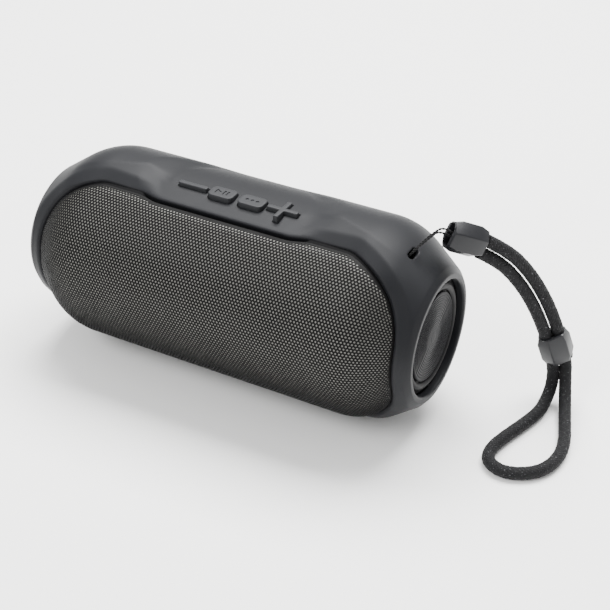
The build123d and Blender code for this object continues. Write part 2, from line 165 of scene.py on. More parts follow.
def weld(obj, distance=0.0002):
    """Joins points that lie together, and turns every face outwards."""
    bm = bmesh.new()
    bm.from_mesh(obj.data)
    bmesh.ops.remove_doubles(bm, verts=bm.verts, dist=distance * MM)
    bmesh.ops.dissolve_degenerate(bm, dist=distance * MM * 0.1, edges=bm.edges)
    bmesh.ops.recalc_face_normals(bm, faces=bm.faces)
    bm.to_mesh(obj.data)
    bm.free()
    return obj


def inside(points, loop):
    """Which points lie inside a closed loop, both in the plane."""
    result = np.zeros(len(points), bool)
    x, y = points[:, 0], points[:, 1]
    ax, ay = loop[:, 0], loop[:, 1]
    bx, by = np.roll(ax, -1), np.roll(ay, -1)
    for i in range(len(loop)):
        crosses = (ay[i] > y) != (by[i] > y)
        with np.errstate(divide="ignore", invalid="ignore"):
            at = (bx[i] - ax[i]) * (y - ay[i]) / (by[i] - ay[i]) + ax[i]
        result ^= crosses & (x < at)
    return result


def distance_to(points, loop):
    """Distance from each point to a closed loop."""
    a, b = loop, np.roll(loop, -1, axis=0)
    best = np.full(len(points), 1e9)
    for start, end in zip(a, b):
        run = end - start
        t = np.clip(((points - start) @ run) / max(run @ run, 1e-12), 0, 1)
        best = np.minimum(best, np.linalg.norm(points - start - t[:, None] * run, axis=1))
    return best


def resample(loop, step):
    """A closed loop's points, evenly spaced."""
    loop = np.asarray(loop, float)
    closed = np.vstack([loop, loop[:1]])
    along = np.r_[0, np.cumsum(np.linalg.norm(np.diff(closed, axis=0), axis=1))]
    count = max(8, int(round(along[-1] / step)))
    at = np.arange(count) / count * along[-1]
    return np.column_stack([np.interp(at, along, closed[:, i]) for i in range(2)])


def offset_loop(loop, distance):
    """A closed loop moved outwards, by its points' normals."""
    ahead, behind = np.roll(loop, -1, axis=0), np.roll(loop, 1, axis=0)
    along = ahead - behind
    along /= np.linalg.norm(along, axis=1)[:, None]
    normal = np.column_stack([along[:, 1], -along[:, 0]])
    area = 0.5 * np.sum(loop[:, 0] * ahead[:, 1] - ahead[:, 0] * loop[:, 1])
    return loop + normal * distance * (1 if area > 0 else -1)


def triangulate(points, loops):
    """Triangles over all the points, less what is inside the loops. Loops are lists of point indices."""
    edges = [(loop[i], loop[(i + 1) % len(loop)]) for loop in loops for i in range(len(loop))]
    verts, _, faces, origin, _, _ = delaunay_2d_cdt([Vector(p) for p in points], edges, [], 0, 1e-6)
    back = [ids[0] for ids in origin]
    tris = np.array([[back[i] for i in f] for f in faces if len(f) == 3])
    middle = points[tris].mean(axis=1)
    keep = np.ones(len(tris), bool)
    for loop in loops:
        keep &= ~inside(middle, points[loop])
    return tris[keep]


def revolved(profile, segments=128):
    """A closed profile of (radius, height) turned about +Z, as points and faces in millimetres."""
    profile = np.asarray(profile, float)
    angle = np.arange(segments) / segments * 2 * math.pi
    count = len(profile)
    r, z = profile[:, 0], profile[:, 1]
    points = np.column_stack([
        (r[:, None] * np.cos(angle)).ravel(), (r[:, None] * np.sin(angle)).ravel(), np.repeat(z, segments)])
    faces = []
    for i in range(count):
        k = (i + 1) % count
        for j in range(segments):
            m = (j + 1) % segments
            faces.append((i * segments + j, i * segments + m, k * segments + m, k * segments + j))
    return points, faces


def placed(points, origin, x_axis, y_axis, z_axis):
    """Points of a local frame in the row frame."""
    basis = np.array([x_axis, y_axis, z_axis], float)
    return np.asarray(points) @ basis + np.asarray(origin, float)


# ---------------------------------------------------------------- materials

def new_material(name):
    material = bpy.data.materials.new(name)
    material.use_nodes = True
    tree = material.node_tree
    return material, tree, tree.nodes["Principled BSDF"]


def add(tree, kind, **values):
    node = tree.nodes.new(kind)
    for key, value in values.items():
        if hasattr(node, key):
            setattr(node, key, value)
        else:
            node.inputs[key.replace("_", " ")].default_value = value
    return node


def noise(tree, scale, detail=4.0, rough=0.55):
    where = add(tree, "ShaderNodeTexCoord")
    node = add(tree, "ShaderNodeTexNoise")
    node.inputs["Scale"].default_value = scale
    node.inputs["Detail"].default_value = detail
    node.inputs["Roughness"].default_value = rough
    tree.links.new(where.outputs["Object"], node.inputs["Vector"])
    return node.outputs["Fac"]


def ramp(tree, source, low, high, start=0.0, end=1.0):
    node = add(tree, "ShaderNodeValToRGB")
    stops = node.color_ramp.elements
    stops[0].position, stops[1].position = start, end
    stops[0].color = (*low, 1) if len(low) == 3 else low
    stops[1].color = (*high, 1) if len(high) == 3 else high
    tree.links.new(source, node.inputs["Fac"])
    return node.outputs["Color"]


def ranged(tree, source, low, high, start=0.0, end=1.0):
    node = add(tree, "ShaderNodeMapRange")
    node.inputs["From Min"].default_value = start
    node.inputs["From Max"].default_value = end
    node.inputs["To Min"].default_value = low
    node.inputs["To Max"].default_value = high
    tree.links.new(source, node.inputs["Value"])
    return node.outputs["Result"]


def bumped(tree, shader, source, strength, distance):
    node = add(tree, "ShaderNodeBump")
    node.inputs["Strength"].default_value = strength
    node.inputs["Distance"].default_value = distance
    tree.links.new(source, node.inputs["Height"])
    tree.links.new(node.outputs["Normal"], shader.inputs["Normal"])


def surface(name, color, roughness, metallic=0.0, spread=0.18, patch=60.0, grain=1800.0, bump=0.25,
            rough_spread=0.08, sheen=0.0, coat=0.0, specular=0.5):
    """A moulded, cast or painted surface: colour that varies a little in patches, and a fine grain."""
    material, tree, shader = new_material(name)
    low = tuple(c * (1 - spread) for c in color)
    high = tuple(min(1.0, c * (1 + spread)) for c in color)
    patches = noise(tree, patch, 5.0, 0.6)
    tree.links.new(ramp(tree, patches, low, high, 0.3, 0.7), shader.inputs["Base Color"])
    fine = noise(tree, grain, 3.0, 0.6)
    level = ranged(tree, patches, roughness - rough_spread, roughness + rough_spread, 0.3, 0.7)
    tree.links.new(level, shader.inputs["Roughness"])
    bumped(tree, shader, fine, bump, 0.00006)
    shader.inputs["Metallic"].default_value = metallic
    shader.inputs["Specular IOR Level"].default_value = specular
    shader.inputs["Sheen Weight"].default_value = sheen
    shader.inputs["Sheen Roughness"].default_value = 0.5
    shader.inputs["Coat Weight"].default_value = coat
    shader.inputs["Coat Roughness"].default_value = 0.2
    return material


def brushed(name, color, roughness=0.3, scale=(40.0, 40.0, 4000.0), anisotropic=0.6):
    """Turned or brushed metal: fine lines that change roughness and height."""
    material, tree, shader = new_material(name)
    where = add(tree, "ShaderNodeTexCoord")
    stretch = add(tree, "ShaderNodeMapping")
    stretch.inputs["Scale"].default_value = scale
    tree.links.new(where.outputs["Object"], stretch.inputs["Vector"])
    lines = add(tree, "ShaderNodeTexNoise")
    lines.inputs["Scale"].default_value = 3.0
    lines.inputs["Detail"].default_value = 6.0
    tree.links.new(stretch.outputs["Vector"], lines.inputs["Vector"])
    low = tuple(c * 0.85 for c in color)
    high = tuple(min(1.0, c * 1.12) for c in color)
    tree.links.new(ramp(tree, lines.outputs["Fac"], low, high, 0.3, 0.7), shader.inputs["Base Color"])
    level = ranged(tree, lines.outputs["Fac"], roughness - 0.08, roughness + 0.1, 0.3, 0.7)
    tree.links.new(level, shader.inputs["Roughness"])
    bumped(tree, shader, lines.outputs["Fac"], 0.15, 0.00003)
    shader.inputs["Metallic"].default_value = 1.0
    shader.inputs["Anisotropic"].default_value = anisotropic
    return material


def woven(name, color, pitch, roughness=0.85, contrast=0.5, sheen=0.4):
    """Woven cloth or yarn: two crossing sets of threads, with fuzz."""
    material, tree, shader = new_material(name)
    where = add(tree, "ShaderNodeTexCoord")
    heights = []
    for turn in (0.0, math.pi / 2):
        spin = add(tree, "ShaderNodeMapping")
        spin.inputs["Rotation"].default_value = (0.0, turn, 0.0)
        tree.links.new(where.outputs["Object"], spin.inputs["Vector"])
        wave = add(tree, "ShaderNodeTexWave")
        wave.inputs["Scale"].default_value = 1.0 / (pitch * MM) / 2 / math.pi * 2
        wave.inputs["Distortion"].default_value = 0.6
        wave.inputs["Detail"].default_value = 1.5
        tree.links.new(spin.outputs["Vector"], wave.inputs["Vector"])
        heights.append(wave.outputs["Fac"])
    cross = add(tree, "ShaderNodeMath", operation="MULTIPLY")
    tree.links.new(heights[0], cross.inputs[0])
    tree.links.new(heights[1], cross.inputs[1])
    low = tuple(c * (1 - contrast) for c in color)
    high = tuple(min(1.0, c * (1 + contrast)) for c in color)
    tree.links.new(ramp(tree, cross.outputs[0], low, high, 0.1, 0.8), shader.inputs["Base Color"])
    fuzz = noise(tree, 2500.0, 3.0, 0.7)
    level = ranged(tree, fuzz, roughness - 0.1, min(1.0, roughness + 0.1), 0.3, 0.7)
    tree.links.new(level, shader.inputs["Roughness"])
    bumped(tree, shader, cross.outputs[0], 0.4, 0.0001)
    shader.inputs["Sheen Weight"].default_value = sheen
    shader.inputs["Sheen Roughness"].default_value = 0.4
    return material


def yarn(name, color, fleck, share, roughness=0.8):
    """Polyester yarn with a few pale flecks, where filaments catch the light."""
    material, tree, shader = new_material(name)
    base = noise(tree, 900.0, 4.0, 0.6)
    dark = tuple(c * 0.6 for c in color)
    body = ramp(tree, base, dark, color, 0.3, 0.7)
    spots = noise(tree, 1500.0, 2.0, 0.5)
    mask = ranged(tree, spots, 0.0, 1.0, share, share + 0.04)
    mix = add(tree, "ShaderNodeMix", data_type="RGBA")
    tree.links.new(mask, mix.inputs["Factor"])
    tree.links.new(body, mix.inputs[6])
    mix.inputs[7].default_value = (*fleck, 1)
    tree.links.new(mix.outputs[2], shader.inputs["Base Color"])
    level = ranged(tree, base, roughness - 0.15, roughness + 0.1, 0.3, 0.7)
    tree.links.new(level, shader.inputs["Roughness"])
    bumped(tree, shader, noise(tree, 5000.0, 2.0, 0.5), 0.5, 0.00005)
    shader.inputs["Sheen Weight"].default_value = 0.04
    shader.inputs["Sheen Roughness"].default_value = 0.4
    shader.inputs["Specular IOR Level"].default_value = 0.25
    return material


MATERIALS = {
    "sleeve_rubber": surface("sleeve_rubber", (0.0072, 0.0076, 0.0091), 0.5, spread=0.08, patch=35,
                             grain=2600,
                             bump=0.3, sheen=0.01, rough_spread=0.04, specular=0.14),
    # The same rubber as the sleeve, given a lighter colour: painted light, so the raised button tops read lighter
    # than the panel round them.
    "button_rubber": surface("button_rubber", (0.0135, 0.0141, 0.0160), 0.48, spread=0.08, patch=60,
                             grain=2600,
                             bump=0.3, sheen=0.01, rough_spread=0.04, specular=0.2),
    "foot_rubber": surface("foot_rubber", (0.02, 0.02, 0.021), 0.75, grain=1500, bump=0.5),
    "grille_steel": surface("grille_steel", (0.003, 0.003, 0.003), 0.62, spread=0.15, patch=90, grain=3500,
                            bump=0.2, specular=0.1),
    "grille_cloth": woven("grille_cloth", (0.165, 0.162, 0.147), 0.32, roughness=0.5, contrast=0.3,
                          sheen=0.05),
    # Black plastic, darkened further so the gap between the sleeve's edge and the grille reads as deep shadow:
    # partly its own colour, partly painted shade.
    "cabinet_plastic": surface("cabinet_plastic", (0.003, 0.003, 0.0033), 0.7, grain=1200, bump=0.5,
                               specular=0.06),
    "seal_rubber": surface("seal_rubber", (0.012, 0.012, 0.012), 0.9, grain=900, bump=0.8),
    "basket_steel": surface("basket_steel", (0.025, 0.025, 0.026), 0.4, grain=1500),
    "motor_steel": brushed("motor_steel", (0.55, 0.55, 0.56)),
    "ferrite": surface("ferrite", (0.05, 0.05, 0.052), 0.6, grain=700, bump=0.6),
    "coil_copper": brushed("coil_copper", (0.75, 0.36, 0.18), 0.25, scale=(20, 3000, 20)),
    "cone_plastic": surface("cone_plastic", (0.02, 0.02, 0.021), 0.45, grain=900, bump=0.4),
    "surround_rubber": surface("surround_rubber", (0.004, 0.004, 0.0045), 0.55, grain=1800, specular=0.12),
    "spider_cloth": woven("spider_cloth", (0.5, 0.38, 0.2), 0.5),
    "ring_plastic": surface("ring_plastic", (0.005, 0.005, 0.0055), 0.55, grain=1400, specular=0.12),
    "circuit_board": surface("circuit_board", (0.01, 0.09, 0.035), 0.35, spread=0.3, patch=300, grain=2500,
                             coat=0.4),
    "chip_plastic": surface("chip_plastic", (0.02, 0.02, 0.021), 0.5, grain=2500),
    "plated_steel": brushed("plated_steel", (0.62, 0.62, 0.63), 0.22, scale=(400, 20, 400)),
    "light_pipe": surface("light_pipe", (0.8, 0.82, 0.85), 0.2, spread=0.04),
    "battery_jacket": surface("battery_jacket", (0.03, 0.12, 0.3), 0.35, coat=0.5),
    "screw_steel": brushed("screw_steel", (0.5, 0.5, 0.51), 0.3),
    "string_cord": yarn("string_cord", (0.006, 0.006, 0.0065), (0.06, 0.06, 0.062), 0.66),
    "braided_cord": yarn("braided_cord", (0.0042, 0.0042, 0.005), (0.09, 0.09, 0.095), 0.67),
    "bead_plastic": surface("bead_plastic", (0.0085, 0.0088, 0.0105), 0.36, spread=0.08, patch=80,
                            grain=2200,
                            bump=0.25, specular=0.26),
}


def radiator_material():
    """Painted turned steel: concentric turning lines about the barrel's axis."""
    material, tree, shader = new_material("radiator_disc")
    where = add(tree, "ShaderNodeTexCoord")
    shift = add(tree, "ShaderNodeMapping")
    shift.inputs["Location"].default_value = (0, 0, -AXIS_HEIGHT * MM)
    tree.links.new(where.outputs["Object"], shift.inputs["Vector"])
    flat = add(tree, "ShaderNodeVectorMath", operation="MULTIPLY")
    flat.inputs[1].default_value = (0, 1, 1)
    tree.links.new(shift.outputs["Vector"], flat.inputs[0])
    length = add(tree, "ShaderNodeVectorMath", operation="LENGTH")
    tree.links.new(flat.outputs["Vector"], length.inputs[0])
    lines = add(tree, "ShaderNodeTexNoise", noise_dimensions="1D")
    lines.inputs["Scale"].default_value = 2500.0
    lines.inputs["Detail"].default_value = 3.0
    tree.links.new(length.outputs["Value"], lines.inputs["W"])
    color = ramp(tree, lines.outputs["Fac"], (0.0055, 0.0055, 0.0064), (0.0075, 0.0075, 0.0088), 0.3, 0.7)
    tree.links.new(color, shader.inputs["Base Color"])
    level = ranged(tree, lines.outputs["Fac"], 0.26, 0.36, 0.3, 0.7)
    tree.links.new(level, shader.inputs["Roughness"])
    bumped(tree, shader, lines.outputs["Fac"], 0.05, 0.00001)
    shader.inputs["Specular IOR Level"].default_value = 0.015
    return material


MATERIALS["radiator_disc"] = radiator_material()


def dress(obj, name):
    obj.data.materials.clear()
    obj.data.materials.append(MATERIALS[name])
    return obj


# ---------------------------------------------------------------- the barrel's profile

def barrel_profile(inset=0.0):
    """Right half of the skin's section as (x, radius, normal x, normal radius), from the middle out."""
    radius, centre_r = SHOULDER_R - inset, BARREL_R - SHOULDER_R
    rows = [(x, BARREL_R - inset, 0, 1) for x in np.linspace(0, SHOULDER_X, 56)]
    for angle in np.linspace(0, TAPER, 20)[1:]:
        s, c = math.sin(angle), math.cos(angle)
        rows.append((SHOULDER_X + radius * s, centre_r + radius * c, s, c))
    return np.array(rows)


def cone_radius(x, inset=0.0):
    """The skin's radius at a distance from the middle, inset measured square to the skin."""
    a = np.abs(x)
    radius, centre_r = SHOULDER_R - inset, BARREL_R - SHOULDER_R
    foot_x = SHOULDER_X + radius * math.sin(TAPER)
    foot_r = centre_r + radius * math.cos(TAPER)
    arc = centre_r + np.sqrt(np.maximum(radius**2 - np.maximum(a - SHOULDER_X, 0) ** 2, 0))
    return np.where(a < SHOULDER_X, BARREL_R - inset,
                    np.where(a < foot_x, arc, foot_r - (a - foot_x) * math.tan(TAPER)))


def sleeve_profile():
    """The sleeve's section from the middle round the end lip into the recess."""
    rows = list(barrel_profile())
    s, c = math.sin(TAPER), math.cos(TAPER)
    x, r = rows[-1][0], rows[-1][1]
    bevel_x, bevel_r = BEVEL_START, r - (BEVEL_START - x) * math.tan(TAPER)
    for t in np.linspace(0, 1, 14)[1:]:
        rows.append((x + (bevel_x - x) * t, r + (bevel_r - r) * t, s, c))
    s, c = math.sin(BEVEL_SLOPE), math.cos(BEVEL_SLOPE)
    lip, corner_r = 0.9, bevel_r - (HALF_LENGTH - bevel_x) * math.tan(BEVEL_SLOPE)
    tangent = lip * math.tan((math.pi / 2 - BEVEL_SLOPE) / 2)
    end_x, end_r = HALF_LENGTH - tangent * c, corner_r + tangent * s
    for t in np.linspace(0, 1, 6):
        rows.append((bevel_x + 0.25 + (end_x - bevel_x - 0.25) * t,
                     bevel_r + (end_r - bevel_r) * t - 0.2 * (1 - t), s, c))
    centre = (HALF_LENGTH - lip, corner_r - tangent)
    for angle in np.linspace(BEVEL_SLOPE, math.pi / 2, 6)[1:]:
        rows.append((centre[0] + lip * math.sin(angle), centre[1] + lip * math.cos(angle), math.sin(angle),
                     math.cos(angle)))
    small = 0.9
    for angle in np.linspace(0, math.pi / 2, 6):
        rows.append((HALF_LENGTH - small + small * math.cos(angle),
                     RECESS_R + small - small * math.sin(angle),
                     math.cos(angle), -math.sin(angle)))
    for x in (78.4, 77.6, 76.9):
        rows.append((x, RECESS_R, 0, -1))
    return np.array(rows)


PROFILE = sleeve_profile()
ALONG = np.r_[0, np.cumsum(np.linalg.norm(np.diff(PROFILE[:, :2], axis=0), axis=1))]
REACH = ALONG[-1]
TURN = math.pi * BARREL_R       # half the way round, in the unrolled skin's millimetres


def profile_at(u):
    """x, radius and normal at a signed distance along the section."""
    side = np.sign(u) + (u == 0)
    cols = [np.interp(np.abs(u), ALONG, PROFILE[:, i]) for i in range(4)]
    return cols[0] * side, cols[1], cols[2] * side, cols[3]


def u_of_x(x):
    """Distance along the section of a place on the outer skin."""
    outer = PROFILE[:, 0][: np.argmax(PROFILE[:, 0])]
    return np.sign(x) * np.interp(np.abs(x), outer, ALONG[: len(outer)])


def smooth(t):
    t = np.clip(t, 0, 1)
    return t * t * (3 - 2 * t)


def soft_min(a, b, width):
    """The smaller of two, with a rounded crossing."""
    h = np.clip(0.5 + 0.5 * (b - a) / width, 0, 1)
    return b * (1 - h) + a * h - width * h * (1 - h)


# ---------------------------------------------------------------- the sleeve

def window_half_height(x):
    """Half height of the front window: it dips a little at the control panel."""
    return WINDOW_Z - WINDOW_DIP * smooth((36 - np.abs(x)) / 10)


def window_loop(step=0.55):
    """The front window on the unrolled skin, as (u, v)."""
    corner_x, corner_z = WINDOW_X - WINDOW_CORNER, WINDOW_Z - WINDOW_CORNER
    angles = np.linspace(0, math.pi / 2, 60)
    quarter = [(corner_x + WINDOW_CORNER * math.cos(a), corner_z + WINDOW_CORNER * math.sin(a))
               for a in angles]
    top = [(x, float(window_half_height(x))) for x in np.linspace(corner_x, 0, 60)[1:]]
    right = quarter + top
    upper = right + [(-x, z) for x, z in right[::-1][1:]]
    loop = np.array(upper + [(x, -z) for x, z in upper[::-1]])
    radius = cone_radius(loop[:, 0]) - edge_depth(loop[:, 0])
    angle = -np.arccos(np.clip(loop[:, 1] / radius, -1, 1))
    return resample(np.column_stack([u_of_x(loop[:, 0]), angle * BARREL_R]), step)


def edge_depth(x):
    """How far the window's upper edge lies below the barrel."""
    return CHAMFER_DROP + (BARREL_R - PANEL_R - CHAMFER_DROP) * smooth((36 - np.abs(x)) / 10)


def panel_loops():
    """Outlines of the button holes on the unrolled skin, by name."""
    def rounded(width, height, corner, gap):
        w, h, c = width / 2 + gap, height / 2 + gap, corner + gap
        points = []
        for sx, sy, start in ((1, 1, 0), (-1, 1, 90), (-1, -1, 180), (1, -1, 270)):
            for a in np.radians(start + np.linspace(0, 90, 7)):
                points.append((sx * (w - c) + c * math.cos(a), sy * (h - c) + c * math.sin(a)))
        return np.array(points)

    gap = BUTTON_GAP
    bar, pad = rounded(12.1, 2.1, 0.5, gap), rounded(10.1, 6.6, 2.0, gap)
    arm, half, reach_x, reach_y = 1.0 + gap, 1.0 + gap, 6.15 + gap, 5.55 + gap
    plus = np.array([
        (reach_x, arm), (half, arm), (half, reach_y), (-half, reach_y), (-half, arm), (-reach_x, arm),
        (-reach_x, -arm), (-half, -arm), (-half, -reach_y), (half, -reach_y), (half, -arm),
        (reach_x, -arm)])
    shapes = {"minus": bar, "play": pad, "mode": pad, "plus": plus}
    loops = {}
    for i, (name, shape) in enumerate(shapes.items()):
        x = shape[:, 0] + BUTTON_SHIFT + (i - 1.5) * BUTTON_PITCH
        y = shape[:, 1] + BUTTON_Y
        loops[name] = resample(np.column_stack([x, np.arcsin(y / PANEL_R) * BARREL_R]), 0.45)
    return loops


def slot_loop():
    """The lanyard eye: a slot across the barrel, on the shoulder."""
    u0, radius = float(u_of_x(np.array(SLOT_X))), float(cone_radius(SLOT_X))
    ring = []
    for a in np.linspace(0, 2 * math.pi, 40, endpoint=False):
        ring.append((u0 + 1.3 * math.cos(a),
                     -1.0 + 1.3 * math.sin(a) + 1.7 * (1 if math.sin(a) >= 0 else -1)))
    ring = np.array(ring)
    ring[:, 1] *= BARREL_R / radius
    return resample(ring, 0.35)


def port_loop():
    """The opening for the port cover, at the back."""
    half_x, half_z, corner = 23.0, 7.5, 4.0
    points = []
    for sx, sz, start in ((1, 1, 0), (-1, 1, 90), (-1, -1, 180), (1, -1, 270)):
        for a in np.radians(start + np.linspace(0, 90, 9)):
            points.append((sx * (half_x - corner) + corner * math.cos(a),
                           sz * (half_z - corner) + corner * math.sin(a)))
    loop = np.array(points)
    angle = math.pi / 2 - np.arcsin(loop[:, 1] / BARREL_R)
    return resample(np.column_stack([loop[:, 0], angle * BARREL_R]), 0.7)


def sculpt(u, v, d_window, d_port):
    """How far below the plain barrel the sleeve's skin lies."""
    x, _, _, _ = profile_at(u)
    theta = v / BARREL_R
    near = np.abs(x)

    # Chamfer round the window, and round the port.
    band = CHAMFER_DROP * np.clip(1 - d_window / CHAMFER_WIDTH, 0, 1)
    ridge = CHAMFER_DROP * (1 - d_window / CHAMFER_WIDTH)
    band = -soft_min(-ridge, np.zeros_like(ridge), 0.16)
    drop = np.maximum(band, 0)
    drop = drop + 0.5 * np.maximum(0, 1 - d_port / 3.0)

    # A flat on each collar, between the chamfer's ridge and a crease that runs out to the eye.
    high = np.radians(np.interp(near, [40, 42.5, 58.7, 67.4, 72], [1.0, -0.7, -9.5, -12.4, -14.0]))
    low = np.full_like(high, math.radians(-27))
    middle, half = (low + high) / 2, (high - low) / 2
    inside_flat = np.abs(theta - middle) < half
    chord = BARREL_R - BARREL_R * np.cos(half) / np.cos(np.clip(theta - middle, -half, half))
    drop = drop + np.where(inside_flat, np.maximum(chord, 0), 0) * FLAT_SHARE * smooth((72 - near) / 14)

    # Control panel: two flats that meet in a crease, with ramps that climb to a rounded rim.
    degrees = np.degrees(theta)
    behind = np.clip((degrees - 5) / 30, 0, 1)
    ahead = np.clip((-5 - degrees) / 16, 0, 1.6)
    rim = np.where(degrees > 0, 24 + 16 * (1 - behind**1.9), 40 - 6.5 * ahead**2)
    crease_y = PANEL_R * math.sin(PANEL_CREASE)
    y = BARREL_R * np.sin(theta)
    front = (PANEL_R * math.cos(PANEL_CREASE) - PANEL_FRONT_SLOPE * (crease_y - y)) / np.cos(theta)
    back = PANEL_R + (BARREL_R - PANEL_R) * smooth((theta - PANEL_CREASE) / math.radians(52))
    floor = np.where(theta < PANEL_CREASE, front, back)
    floor = np.where(np.abs(theta) < math.radians(80), floor, BARREL_R)
    depth = BARREL_R - floor
    valley = -3.0 - np.clip(38 - near, 0, 14) * 0.52
    scoop = smooth((degrees - valley) / 3.0)
    width = 9.0 + 4.5 * scoop
    ramp_t = (rim - near) / width
    share = -soft_min(-np.clip(ramp_t, -1, 2), np.full_like(ramp_t, 0.0), 0.05)
    share = soft_min(share, np.full_like(ramp_t, 1.0), 0.12)
    share = np.clip(share, 0, 1)
    on_top = (theta > math.radians(-60)) & (theta < math.radians(60))
    share = np.where(on_top, share, 0)
    bowl = 0.85 * scoop * np.sin(np.clip(ramp_t, 0, 1) * math.pi) ** 1.2 * smooth((34 - degrees) / 14)
    return drop * (1 - share) + (depth + np.maximum(bowl, 0)) * share


def skin_points(u, v, drop):
    """Points of the sleeve in the row frame, in millimetres."""
    x, r, nx, nr = profile_at(u)
    theta = v / BARREL_R
    x = x - nx * drop
    r = r - nr * drop
    return np.column_stack([x, r * np.sin(theta), AXIS_HEIGHT + r * np.cos(theta)])


def lip_drop(distance, radius):
    """The rounding of an edge: how far the skin falls at a distance from it."""
    t = np.clip(radius - distance, 0, radius)
    return radius - np.sqrt(np.maximum(radius**2 - t**2, 0))


def build_sleeve():
    holes = {"window": (window_loop(), 0.9), "slot": (slot_loop(), 0.5), "port": (port_loop(), 0.5)}
    for name, loop in panel_loops().items():
        holes[name] = (loop, 0.3)
    u_lines = np.r_[-ALONG[::-1], ALONG[1:]]
    fine_v = np.linspace(-TURN, TURN, 241)

    def grid(u_values, v_values):
        uu, vv = np.meshgrid(u_values, v_values, indexing="ij")
        return np.column_stack([uu.ravel(), vv.ravel()])

    def assemble(base, rings, outlines):
        """Grid points clear of the holes, with the holes' own rings of points."""
        keep = np.ones(len(base), bool)
        edge = np.isclose(np.abs(base[:, 1]), TURN) | np.isclose(np.abs(base[:, 0]), REACH)
        for loop in outlines:
            keep &= ~inside(base, loop) & (distance_to(base, loop) > rings[-1] + 0.35)
        base = base[keep | edge]
        points, loops, at = [base], [], len(base)
        for loop in outlines:
            loops.append(list(range(at, at + len(loop))))
            points.append(loop)
            at += len(loop)
            for ring in rings[1:]:
                moved = offset_loop(loop, ring)
                points.append(moved)
                at += len(moved)
        return np.vstack(points), loops

    top_outlines = [loop for loop, _ in holes.values()]
    buttons = panel_loops()
    under_outlines = []
    for name, (loop, _) in holes.items():
        middle = (loop.min(0) + loop.max(0)) / 2
        under_outlines.append(middle + (loop - middle) * (UNDERCUT if name in buttons else (1.0, 1.0)))
    outer, outer_loops = assemble(grid(u_lines, fine_v), [0.0, 0.06, 0.16, 0.3, 0.5, 0.8], top_outlines)
    coarse_u = np.r_[np.linspace(-REACH, REACH, 71)]
    inner, inner_loops = assemble(grid(coarse_u, fine_v[::4]), [0.0], under_outlines)
    outer_tris, inner_tris = triangulate(outer, outer_loops), triangulate(inner, inner_loops)

    def depth_at(points, lips):
        d_window = distance_to(points, holes["window"][0])
        d_port = distance_to(points, holes["port"][0])
        drop = sculpt(points[:, 0], points[:, 1], d_window, d_port)
        if lips:
            for loop, radius in holes.values():
                drop = drop + lip_drop(distance_to(points, loop), radius)
        return drop

    top = skin_points(outer[:, 0], outer[:, 1], depth_at(outer, True))
    under = skin_points(inner[:, 0], inner[:, 1], depth_at(inner, False) + SLEEVE_WALL)
    top[:, 2] = np.maximum(top[:, 2], FLAT_HEIGHT)
    under[:, 2] = np.maximum(under[:, 2], FLAT_HEIGHT + 1.4)
    shift = len(top)
    points = np.vstack([top, under])
    faces = [tuple(t) for t in outer_tris] + [tuple(t[::-1] + shift) for t in inner_tris]
    for a, b in zip(outer_loops, inner_loops):
        for i in range(len(a)):
            k = (i + 1) % len(a)
            faces.append((a[k], a[i], b[i] + shift, b[k] + shift))
    for sign in (-1, 1):
        rim_out = [i for i in np.where(np.isclose(outer[:, 0], sign * REACH))[0]]
        rim_in = [i for i in np.where(np.isclose(inner[:, 0], sign * REACH))[0]]
        rim_out.sort(key=lambda i: outer[i, 1])
        rim_in.sort(key=lambda i: inner[i, 1])
        per = (len(rim_out) - 1) // (len(rim_in) - 1)
        for i in range(len(rim_in) - 1):
            run = rim_out[i * per:(i + 1) * per + 1]
            faces.append(tuple(run) + (rim_in[i + 1] + shift, rim_in[i] + shift))
    sleeve = weld(mesh_object("rubber_sleeve_skin", points, faces))
    sleeve.data.shade_smooth()
    sleeve.data.set_sharp_from_angle(angle=math.radians(50))
    dress(sleeve, "sleeve_rubber")
    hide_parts("rubber_sleeve")
    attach(sleeve, "speaker")
    return sleeve


# ---------------------------------------------------------------- the grille

def grille_place(u, v, extra=0.0):
    """A point of the grille from its place on the unrolled sheet: a pillow that rolls in at its rim."""
    inset = GRILLE_INSET
    radius = SHOULDER_R - inset
    a = np.abs(u)
    arc = radius * TAPER
    on_arc = np.clip(a - SHOULDER_X, 0, arc) / radius
    past = np.maximum(a - SHOULDER_X - arc, 0)
    x = np.minimum(a, SHOULDER_X) + radius * np.sin(on_arc) + past * math.cos(TAPER)
    r = BARREL_R - SHOULDER_R + radius * np.cos(on_arc) - past * math.sin(TAPER)
    nx, nr = np.sin(on_arc), np.cos(on_arc)
    theta = v / (BARREL_R - inset)
    loop = grille_outline()
    rim = distance_to(np.column_stack([u, v]), loop)
    roll = 1.05 * np.clip(1 - rim / 4.5, 0, 1) ** 2
    drop = roll + extra
    x = (x - nx * drop) * np.sign(u + 1e-12)
    r = r - nr * drop
    return np.column_stack([x, r * np.sin(theta), AXIS_HEIGHT + r * np.cos(theta)])


_outline = {}


def grille_outline():
    """The sheet's outline on its own unrolled surface, a little inside the sleeve's window."""
    if "loop" not in _outline:
        window = window_loop(1.2)
        x, _, _, _ = profile_at(window[:, 0])
        inset, radius = GRILLE_INSET, SHOULDER_R - GRILLE_INSET
        a = np.abs(x)
        foot = SHOULDER_X + radius * math.sin(TAPER)
        u = np.where(a < SHOULDER_X, a, SHOULDER_X
                     + radius * np.arcsin(np.clip((a - SHOULDER_X) / radius, 0, 1)))
        u = np.where(a > foot, SHOULDER_X + radius * TAPER + (a - foot) / math.cos(TAPER), u) * np.sign(x)
        theta = window[:, 1] / BARREL_R
        loop = np.column_stack([u, theta * (BARREL_R - inset)])
        _outline["loop"] = offset_loop(loop, -1.3)
    return _outline["loop"]


